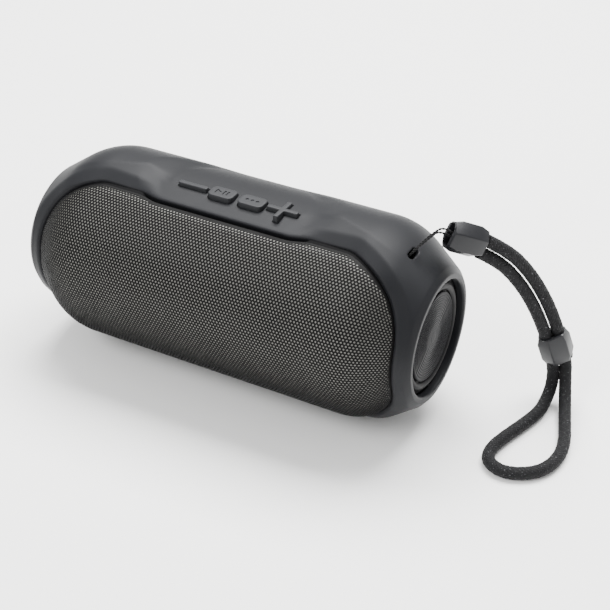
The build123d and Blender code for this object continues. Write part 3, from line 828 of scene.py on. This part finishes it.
def build_grille():
    """The perforated sheet: a hexagonal lattice of round holes, as two halves that meet in the middle."""
    loop = grille_outline()
    row = HOLE_PITCH * math.sqrt(3) / 2
    low, high = loop.min(0), loop.max(0)
    middle_v = -math.pi / 2 * (BARREL_R - GRILLE_INSET)
    count_v = int((high[1] - low[1]) / row / 2) + 2
    centres = []
    for j in range(-count_v, count_v + 1):
        shift = HOLE_PITCH / 2 if j % 2 else 0.0
        span = int(high[0] / HOLE_PITCH) + 2
        for i in range(-span, span + 1):
            centres.append((i * HOLE_PITCH + shift, middle_v + j * row))
    centres = np.array(centres)
    centres = centres[inside(centres, loop) & (distance_to(centres, loop) > HOLE_PITCH * 0.62)]
    corner = HOLE_PITCH / math.sqrt(3)
    hexagon = np.array([(corner * math.cos(a), corner * math.sin(a))
                        for a in np.radians(30 + 60 * np.arange(6))])
    circle = np.array([(math.cos(a), math.sin(a))
                       for a in np.radians(30 + 360 / HOLE_SIDES * np.arange(HOLE_SIDES))])
    per = HOLE_SIDES // 6
    cell_faces = []
    for k in range(6):
        for m in range(per):
            cell_faces.append((k, 6 + k * per + m, 6 + (k * per + m + 1) % HOLE_SIDES))
        cell_faces.append((k, 6 + ((k + 1) * per) % HOLE_SIDES, (k + 1) % 6))
    for m in range(HOLE_SIDES):
        n = (m + 1) % HOLE_SIDES
        cell_faces.append((6 + m, 6 + HOLE_SIDES + m, 6 + HOLE_SIDES + n, 6 + n))
    cell = np.vstack([hexagon, circle * HOLE_R, circle * HOLE_R])
    depth = np.r_[np.zeros(6 + HOLE_SIDES), np.full(HOLE_SIDES, GRILLE_DEPTH)]
    for side, chosen in (("left", centres[centres[:, 0] < 0]), ("right", centres[centres[:, 0] >= 0])):
        flat = (chosen[:, None, :] + cell[None]).reshape(-1, 2)
        drops = np.tile(depth, len(chosen))
        points = grille_place(flat[:, 0], flat[:, 1], drops)
        faces = []
        size = len(cell)
        for c in range(len(chosen)):
            base = c * size
            faces.extend(tuple(base + i for i in f) for f in cell_faces)
        sheet = mesh_object(f"grille_{side}_half", points, faces, smooth=False)
        weld(sheet, 0.02)
        sheet.data.shade_smooth()
        sheet.data.set_sharp_from_angle(angle=math.radians(45))
        dress(sheet, "grille_steel")
        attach(sheet, "speaker")
        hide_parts("front_grille")
        print(sheet.name, len(chosen), "holes", len(sheet.data.polygons), "faces")
    build_rim(loop)


def build_rim(loop):
    """The grille's plain edge: from the last holes to the rim, turned in towards the cabinet."""
    steps = [(0.0, 1.0), (0.0, 0.0), (0.35, 0.0), (1.15, -0.02)]
    fine = resample(loop, 0.9)
    rows = [grille_place(*offset_loop(fine, -d).T, np.full(len(fine), e)) for d, e in steps]
    count = len(fine)
    points = np.vstack(rows)
    faces = []
    for r in range(len(rows) - 1):
        for i in range(count):
            k = (i + 1) % count
            faces.append((r * count + i, r * count + k, (r + 1) * count + k, (r + 1) * count + i))
    rim = mesh_object("grille_rim", points, faces, sharp=50)
    dress(rim, "grille_steel")
    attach(rim, "speaker")


def build_cloth():
    """Acoustic cloth just behind the holes."""
    loop = offset_loop(resample(grille_outline(), 1.2), -0.5)
    low, high = loop.min(0), loop.max(0)
    uu, vv = np.meshgrid(np.arange(low[0], high[0], 1.3), np.arange(low[1], high[1], 1.3), indexing="ij")
    base = np.column_stack([uu.ravel(), vv.ravel()])
    base = base[inside(base, loop) & (distance_to(base, loop) > 0.6)]
    flat = np.vstack([base, loop])
    edge = list(range(len(base), len(flat)))
    edges = [(edge[i], edge[(i + 1) % len(edge)]) for i in range(len(edge))]
    _, _, found, origin, _, _ = delaunay_2d_cdt([Vector(p) for p in flat], edges, [], 1, 1e-6)
    back = [ids[0] for ids in origin]
    tris = [tuple(back[i] for i in f) for f in found]
    points = grille_place(flat[:, 0], flat[:, 1], np.full(len(flat), GRILLE_DEPTH + 0.04))
    cloth = mesh_object("acoustic_cloth", points, tris)
    weld(cloth)
    cloth.data.shade_smooth()
    dress(cloth, "grille_cloth")
    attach(cloth, "speaker")
    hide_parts("grille_cloth")


# ---------------------------------------------------------------- passive radiators

def build_radiator(side, sign):
    face, back = -2.2, -4.2
    profile = [(0.02, face - 0.02), (1.0, face - 0.01)]
    for r in np.arange(2.0, 15.7, 0.115):
        height = 0.03 + 0.10 * smooth((r - 3.0) / 5.5)
        profile.append((r, face - height * (0.5 - 0.5 * math.cos((15.7 - r) / 0.92 * 2 * math.pi))))
    profile += [(15.9, face), (16.3, face - 0.12), (16.5, face - 0.3), (16.6, face - 0.6),
                (16.6, face - 4.0),
                (13.6, face - 4.0), (13.6, back), (0.02, back)]
    points, faces = revolved(profile, 144)
    x_axis, y_axis, z_axis = (0, 0, 1), (0, sign, 0), (sign, 0, 0)
    points = placed(points, (sign * HALF_LENGTH, 0, AXIS_HEIGHT), x_axis, y_axis, z_axis)
    disc = weld(mesh_object(f"{side}_radiator_disc", points, faces), 0.05)
    disc.data.set_sharp_from_angle(angle=math.radians(25))
    dress(disc, "radiator_disc")
    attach(disc, f"{side}_radiator")
    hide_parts(f"{side}_radiator_weight")


# ---------------------------------------------------------------- buttons, port cover and feet

def rounded_outline(width, height, corner, per=8):
    """A rounded rectangle about the origin."""
    points = []
    for sx, sy, start in ((1, 1, 0), (-1, 1, 90), (-1, -1, 180), (1, -1, 270)):
        for a in np.radians(start + np.linspace(0, 90, per)):
            points.append((sx * (width / 2 - corner) + corner * math.cos(a),
                           sy * (height / 2 - corner) + corner * math.sin(a)))
    return np.array(points)


def plus_outline(length, height, width):
    """A plus sign whose outer corners are rounded."""
    a, b, c = width / 2, length / 2, height / 2
    points = []
    for quarter, (along, other) in enumerate(((b, c), (c, b), (b, c), (c, b))):
        turn = quarter * math.pi / 2
        corners = [(along, -a), (along, a), (a, a)]
        for k, (x, y) in enumerate(corners):
            if k < 2:
                sign = -1 if y < 0 else 1
                arc = [(x - 0.4 + 0.4 * math.cos(t), y - sign * 0.4 + sign * 0.4 * math.sin(t))
                       for t in np.linspace(0, math.pi / 2, 5)]
                run = arc if sign > 0 else arc[::-1]
            else:
                run = [(x, y)]
            for px, py in run:
                points.append((px * math.cos(turn) - py * math.sin(turn),
                               px * math.sin(turn) + py * math.cos(turn)))
    return np.array(points)


def slab_mesh(name, loop, height, bottom, place, step=0.5, rings=(0.06, 0.15, 0.28, 0.45), marks=()):
    """A closed pad: its top follows height(points), its bottom is at bottom, and place() puts it in the frame."""
    low, high = loop.min(0), loop.max(0)
    uu, vv = np.meshgrid(np.arange(low[0], high[0], step), np.arange(low[1], high[1], step), indexing="ij")
    base = np.column_stack([uu.ravel(), vv.ravel()])
    base = base[inside(base, loop) & (distance_to(base, loop) > rings[-1] + step * 0.4)]
    extra = [offset_loop(loop, -r) for r in rings]
    for mark in marks:
        base = base[distance_to(base, mark) > 0.16]
        extra += [offset_loop(mark, d) for d in (-0.07, 0.07)]
    flat = np.vstack([loop] + extra + [base])
    count = len(loop)
    edges = [(i, (i + 1) % count) for i in range(count)]
    _, _, found, origin, _, _ = delaunay_2d_cdt([Vector(p) for p in flat], edges, [], 1, 1e-6)
    back = [ids[0] for ids in origin]
    tris = [tuple(back[i] for i in f) for f in found]
    top = np.column_stack([flat, height(flat)])
    under = np.column_stack([loop, np.full(count, bottom)])
    total = len(top)
    faces = tris + [(i, (i + 1) % count, total + (i + 1) % count, total + i) for i in range(count)]
    faces.append(tuple(range(total + count - 1, total - 1, -1)))
    pad = weld(mesh_object(name, place(np.vstack([top, under])), faces), 0.002)
    pad.data.shade_smooth()
    pad.data.set_sharp_from_angle(angle=math.radians(40))
    return pad


def build_buttons():
    bar, pad, plus = rounded_outline(12.1, 2.1, 0.6), rounded_outline(10.1, 6.6, 2.0), plus_outline(12.3,
                                                                                                    11.1,
                                                                                                    2.0)
    play = [np.array([(-2.7, -1.35), (-0.4, 0.0), (-2.7, 1.35)])]
    play += [rounded_outline(0.62, 2.6, 0.1, 3) + np.array([x, 0.0]) for x in (0.75, 2.15)]
    ring = np.array([(0.62 * math.cos(a), 0.62 * math.sin(a))
                     for a in np.linspace(0, 2 * math.pi, 20, endpoint=False)])
    dots = [ring + np.array([x, 0.0]) for x in (-2.1, 0.0, 2.1)]
    pieces = {"minus": (bar, []), "play": (pad, play), "mode": (pad, dots), "plus": (plus, [])}
    for i, (name, (outline, marks)) in enumerate(pieces.items()):
        loop = resample(outline, 0.3)
        marks = [resample(mark, 0.16) for mark in marks]
        shift = np.array([BUTTON_SHIFT + (i - 1.5) * BUTTON_PITCH, BUTTON_Y, AXIS_HEIGHT])

        def height(points):
            z = BUTTON_TOP - lip_drop(distance_to(points, loop), 0.42)
            for mark in marks:
                signed = distance_to(points, mark) * np.where(inside(points, mark), 1, -1)
                z = z - 0.32 * smooth((signed + 0.08) / 0.16)
            return z

        cap = slab_mesh(f"{name}_button_cap", loop, height, BUTTON_FOOT, lambda p: p + shift, 0.5,
                        marks=marks)
        dress(cap, "button_rubber")
        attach(cap, f"{name}_button")
        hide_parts(f"{name}_button")


def build_port_cover():
    """The rubber flap at the back, with a thumb notch and a row of raised ribs."""
    loop = resample(rounded_outline(45.4, 14.4, 3.7), 0.6)

    def height(points):
        x, z = points[:, 0], points[:, 1]
        h = 0.0 - 0.45 * lip_drop(distance_to(points, loop), 0.5) * 2
        notch = np.hypot(x / 5.2, (z - 6.9) / 2.1)
        h = h - 1.1 * smooth(1.15 - notch)
        inner = rounded_outline(38.0, 7.6, 2.2)
        frame_line = distance_to(points, inner)
        h = h - 0.28 * smooth((0.55 - frame_line) / 0.35)
        for k in range(-2, 3):
            rib = np.maximum(np.abs(x - k * 5.0) / 0.55, np.abs(z) / 1.9)
            h = h + 0.3 * smooth((1.25 - rib) / 0.5)
        return h

    def place(points):
        x, z, h = points[:, 0], points[:, 1], points[:, 2]
        angle = np.arcsin(z / BARREL_R)
        return np.column_stack([x, (BARREL_R + h) * np.cos(angle),
                                AXIS_HEIGHT + (BARREL_R + h) * np.sin(angle)])

    cover = slab_mesh("port_cover_flap", loop, height, -2.2, place, 0.55)
    dress(cover, "sleeve_rubber")
    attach(cover, "port_cover")
    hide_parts("port_cover")


def build_feet():
    """Two soft feet with fine ribs, face down."""
    parts = []
    for side, x in (("left", -42.0), ("right", 42.0)):
        loop = resample(rounded_outline(26.0, 12.0, 5.99), 0.6)

        def height(points):
            ribs = 0.5 + 0.5 * np.cos(points[:, 0] / 1.6 * 2 * math.pi)
            depth = distance_to(points, loop)
            return -1.0 + lip_drop(depth, 0.4) + 0.25 * ribs * smooth((depth - 0.9) / 0.4)

        foot = slab_mesh(f"{side}_foot", loop, height, 0.0, lambda p,
                         x=x: p + np.array([x, 0, FLAT_HEIGHT]), 0.4)
        dress(foot, "foot_rubber")
        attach(foot, "speaker")
        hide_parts("rubber_feet")


def build_surround(side, sign):
    """The roll of rubber between a radiator's disc and its ring."""
    middle, roll, thick = 18.6, 1.55, 0.35
    fixed_radius, blend_width = 20.2, 3.6
    profile = [(20.3, -3.6)]
    profile += [(middle + roll * math.cos(a), -3.5 + roll * math.sin(a))
                for a in np.linspace(0, math.pi, 17)]
    profile += [(16.55, -3.6), (16.55, -3.9)]
    profile += [(middle + (roll - thick) * math.cos(a), -3.75 + (roll - thick) * math.sin(a))
                for a in np.linspace(math.pi, 0, 17)]
    profile += [(20.3, -3.9)]
    points, faces = revolved(profile, 128)
    radius = np.hypot(points[:, 0], points[:, 1])
    points = placed(points, (sign * HALF_LENGTH, 0, AXIS_HEIGHT), (0, 0, 1), (0, sign, 0), (sign, 0, 0))
    roll_obj = mesh_object(f"{side}_surround_roll", points, faces, sharp=60)
    bm = bmesh.new()
    bm.from_mesh(roll_obj.data)
    bmesh.ops.recalc_face_normals(bm, faces=bm.faces)
    bm.to_mesh(roll_obj.data)
    bm.free()
    dress(roll_obj, "surround_rubber")
    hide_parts(f"{side}_radiator_surround")
    place = (sign * (HALF_LENGTH - 4) * MM, 0, AXIS_HEIGHT * MM)
    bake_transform(roll_obj, "speaker", f"{side}_radiator", place, (place[0] + sign * 0.001, 0, place[2]))
    for name in roll_obj.data.attributes.keys():
        values = roll_obj.data.attributes[name]
        if "blend" in name.lower() and values.domain == "POINT":
            values.data.foreach_set("value",
                                    smooth((fixed_radius - radius) / blend_width).astype(np.float32))


# ---------------------------------------------------------------- strap

def rounded_hexagon(tall, wide, radius, per=5):
    """A hexagon with points up and down along x, its corners rounded."""
    a, b, c = tall / 2, wide / 2, tall / 4
    corners = np.array([(a, 0), (c, b), (-c, b), (-a, 0), (-c, -b), (c, -b)], float)
    points = []
    for i in range(6):
        p, before, after = corners[i], corners[i - 1], corners[(i + 1) % 6]
        d0 = (before - p) / np.linalg.norm(before - p)
        d1 = (after - p) / np.linalg.norm(after - p)
        half = math.acos(np.clip(d0 @ d1, -1, 1)) / 2
        cut = radius / math.tan(half)
        centre = p + (d0 + d1) / np.linalg.norm(d0 + d1) * radius / math.sin(half)
        start, end = p + d0 * cut, p + d1 * cut
        for t in np.linspace(0, 1, per):
            q = start * (1 - t) + end * t - centre
            points.append(centre + q / np.linalg.norm(q) * radius)
    return np.array(points)


def bead(name, length, tall, wide, channel, centre, axis, body, node):
    """A faceted bead with a slot through it for the two strands."""
    half = length / 2
    bevel = 0.5
    levels = [(-half, 0.84, bevel), (-half + bevel * 0.6, 0.84, 0), (-half + 3, 1.0, 0), (half - 3, 1.0, 0),
              (half - bevel * 0.6, 0.84, 0), (half, 0.84, bevel)]
    rings = []
    for z, scale, inset in levels:
        outline = rounded_hexagon(tall * scale - 2 * inset, wide * scale - 2 * inset, 0.7)
        rings.append(np.column_stack([outline, np.full(len(outline), z)]))
    count = len(rings[0])
    angle = np.arctan2(rings[0][:, 1], rings[0][:, 0])
    stadium = []
    straight, radius = channel
    for a in angle:
        stadium.append((math.cos(a) * radius + np.clip(math.cos(a) * 2.5, -1, 1) * straight,
                        math.sin(a) * radius))
    stadium = np.array(stadium)
    for z, grow in ((half, 0.25), (half - 0.5, 0.0), (0.0, 0.0), (-half + 0.5, 0.0), (-half, 0.25)):
        ring = stadium * (1 + grow / (straight + radius))
        rings.append(np.column_stack([ring, np.full(count, z)]))
    points = np.vstack(rings)
    faces = []
    total = len(rings)
    for r in range(total):
        s = (r + 1) % total
        for i in range(count):
            k = (i + 1) % count
            faces.append((r * count + i, r * count + k, s * count + k, s * count + i))
    z_axis = np.array(axis) / np.linalg.norm(axis)
    flat = np.cross(z_axis, (0, 0, 1))
    flat /= np.linalg.norm(flat)
    x_axis = np.cross(flat, z_axis)
    points = placed(points, centre, x_axis, np.cross(z_axis, x_axis), z_axis)
    obj = weld(mesh_object(name, points, faces), 0.001)
    obj.data.set_sharp_from_angle(angle=math.radians(28))
    dress(obj, "bead_plastic")
    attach(obj, body)
    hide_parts(node)
    return obj


def route_curve(name, route):
    """A smooth line with the route's points as its control points."""
    curve = bpy.data.curves.new(name, "CURVE")
    curve.dimensions = "3D"
    curve.resolution_u = 24
    spline = curve.splines.new("NURBS")
    spline.points.add(len(route) - 1)
    for point, place in zip(spline.points, route):
        point.co = (*[c * MM for c in place], 1.0)
    spline.order_u = 3
    spline.use_endpoint_u = True
    obj = bpy.data.objects.new(name, curve)
    bpy.context.scene.collection.objects.link(obj)
    return obj


def centreline(name, route, step):
    """The route's smooth line as evenly spaced points in millimetres, with a steady frame at each."""
    obj = route_curve(name, route)
    bpy.context.view_layer.update()
    mesh = bpy.data.meshes.new_from_object(obj.evaluated_get(bpy.context.evaluated_depsgraph_get()))
    line = np.array([v.co for v in mesh.vertices]) / MM
    bpy.data.objects.remove(obj)
    bpy.data.meshes.remove(mesh)
    gaps = np.linalg.norm(np.diff(line, axis=0), axis=1)
    line = line[np.r_[True, gaps > 1e-6]]
    along = np.r_[0, np.cumsum(np.linalg.norm(np.diff(line, axis=0), axis=1))]
    at = np.linspace(0, along[-1], int(along[-1] / step) + 1)
    line = np.column_stack([np.interp(at, along, line[:, i]) for i in range(3)])
    tangent = np.gradient(line, axis=0)
    tangent /= np.linalg.norm(tangent, axis=1)[:, None]
    normal = np.zeros_like(line)
    first = np.cross(tangent[0], (0.3, 0.2, 0.9))
    normal[0] = first / np.linalg.norm(first)
    for i in range(1, len(line)):
        n = normal[i - 1] - tangent[i] * (normal[i - 1] @ tangent[i])
        normal[i] = n / np.linalg.norm(n)
    return line, normal, np.cross(tangent, normal), at


def ribbon(line, normal, side, angle, radius, half_width, half_height, sides=6):
    """One strand round a centreline: its angle and radius at each point, with an oval section."""
    out = normal * np.cos(angle)[:, None] + side * np.sin(angle)[:, None]
    centre = line + out * radius[:, None]
    along = np.gradient(centre, axis=0)
    along /= np.linalg.norm(along, axis=1)[:, None]
    across = np.cross(along, out)
    across /= np.linalg.norm(across, axis=1)[:, None]
    points, faces = [], []
    for a in np.arange(sides) / sides * 2 * math.pi:
        points.append(centre + across * math.cos(a) * half_width + out * math.sin(a) * half_height)
    points = np.stack(points, axis=1).reshape(-1, 3)
    for i in range(len(line) - 1):
        for k in range(sides):
            m = (k + 1) % sides
            faces.append((i * sides + k, i * sides + m, (i + 1) * sides + m, (i + 1) * sides + k))
    faces.append(tuple(range(sides - 1, -1, -1)))
    faces.append(tuple((len(line) - 1) * sides + k for k in range(sides)))
    return points, faces


def join_parts(name, parts):
    points, faces, at = [], [], 0
    for p, f in parts:
        points.append(p)
        faces.extend(tuple(i + at for i in face) for face in f)
        at += len(p)
    return mesh_object(name, np.vstack(points), faces)


def build_strap():
    line, normal, side, at = centreline("strap_route", STRAP_ROUTE, 0.62)
    carriers, lead = 12, 17.0
    outer = STRAP_D / 2
    parts = []
    middle, wave = outer - 0.12, 0.10
    strand_half_width, strand_half_height = 0.50, 0.22
    for turn in (1, -1):
        for c in range(carriers):
            angle = turn * at / lead * 2 * math.pi + c / carriers * 2 * math.pi
            phase = carriers * at / lead * 2 * math.pi + (0 if turn > 0 else math.pi) + (c % 2) * math.pi
            radius = middle + wave * np.cos(phase)
            parts.append(ribbon(line, normal, side, angle, radius, strand_half_width, strand_half_height))
    parts.append(ribbon(line[::3], normal[::3], side[::3], at[::3] * 0, at[::3] * 0, outer - 0.22,
                        outer - 0.22, sides=16))
    parts = [(np.column_stack([p[:, :2], np.maximum(p[:, 2], 0.02)]), f) for p, f in parts]
    strap = join_parts("braided_strap", parts)
    dress(strap, "braided_cord")
    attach(strap, "speaker")
    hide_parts("wrist_strap")


def build_string():
    line, normal, side, at = centreline("string_route", STRING_ROUTE, 0.12)
    ply_lead, ply_offset, ply_radius = 2.4, 0.19, 0.22
    parts = []
    for c in range(2):
        angle = at / ply_lead * 2 * math.pi + c * math.pi
        parts.append(ribbon(line, normal, side, angle, np.full(len(at), ply_offset), ply_radius, ply_radius,
                            sides=8))
    cord = join_parts("lanyard_string_ply", parts)
    dress(cord, "string_cord")
    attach(cord, "speaker")
    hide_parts("lanyard_string")


# ---------------------------------------------------------------- surroundings

def build_camera():
    a, e = CAMERA_AZIMUTH, CAMERA_ELEVATION
    back = Vector((math.sin(a) * math.cos(e), -math.cos(a) * math.cos(e), math.sin(e)))
    right = Vector((math.cos(a), math.sin(a), 0))
    up = back.cross(right)
    place = back * CAMERA_DISTANCE + right * CAMERA_RIGHT + up * CAMERA_UP + Vector((0, 0, AXIS_HEIGHT))
    data = bpy.data.cameras.new("camera")
    data.lens, data.sensor_width = CAMERA_LENS, 36.0
    data.clip_start, data.clip_end = 0.01, 20.0
    camera = bpy.data.objects.new("camera", data)
    camera.matrix_world = Matrix((
        (right.x, up.x, back.x, place.x * MM), (right.y, up.y, back.y, place.y * MM),
        (right.z, up.z, back.z, place.z * MM), (0, 0, 0, 1)))
    bpy.context.scene.collection.objects.link(camera)
    bpy.context.scene.camera = camera


def area_light(name, place, target, size, power, color=(1, 1, 1)):
    data = bpy.data.lights.new(name, "AREA")
    data.shape, data.size, data.size_y = "RECTANGLE", size[0], size[1]
    data.energy, data.color = power, color
    light = bpy.data.objects.new(name, data)
    light.location = place
    light.rotation_mode = "QUATERNION"
    light.rotation_quaternion = (Vector(target) - Vector(place)).to_track_quat("-Z", "Y")
    bpy.context.scene.collection.objects.link(light)


def build_studio():
    world = bpy.data.worlds.new("studio")
    bpy.context.scene.world = world
    world.use_nodes = True
    world.node_tree.nodes["Background"].inputs["Color"].default_value = (1, 1, 1, 1)
    world.node_tree.nodes["Background"].inputs["Strength"].default_value = 1.0
    area_light("overhead", (-0.05, 0.50, 1.10), (0, 0, 0.03), (1.1, 0.7), 56.0)
    area_light("front", (-0.35, -0.75, 0.85), (0, 0, 0.03), (0.6, 0.5), 10.0)
    floor = mesh_object("floor", [(-4000, -4000, -0.05), (4000, -4000, -0.05), (4000, 4000, -0.05),
                                  (-4000, 4000, -0.05)],
                        [(0, 1, 2, 3)], smooth=False)
    floor.data.materials.append(surface("floor_paint", (0.96, 0.96, 0.95), 0.7, spread=0.01, patch=3,
                                        grain=400,
                                        bump=0.02, rough_spread=0.02))


# ---------------------------------------------------------------- build

build_camera()
slot_of = {row["node"]: row["material_slot"] for row in frame["record"]["subparts"]}
for node_name, node in nodes.items():
    dress(node, slot_of[node_name])
end = bead("strap_end_bead", 13.5, 12.4, 9.0, (2.6, 2.2), BEAD_CENTRE, BEAD_AXIS, "speaker", "end_bead")
slide = bead("strap_slider_bead", 13.0, 13.0, 8.4, (2.45, 2.6), SLIDER_CENTRE, SLIDER_AXIS, "slider_bead",
             "slider_bead")
build_string()
build_strap()
build_sleeve()
build_grille()
build_cloth()
for which, way in (("left", -1), ("right", 1)):
    build_radiator(which, way)
    build_surround(which, way)
build_buttons()
build_port_cover()
build_feet()
build_studio()
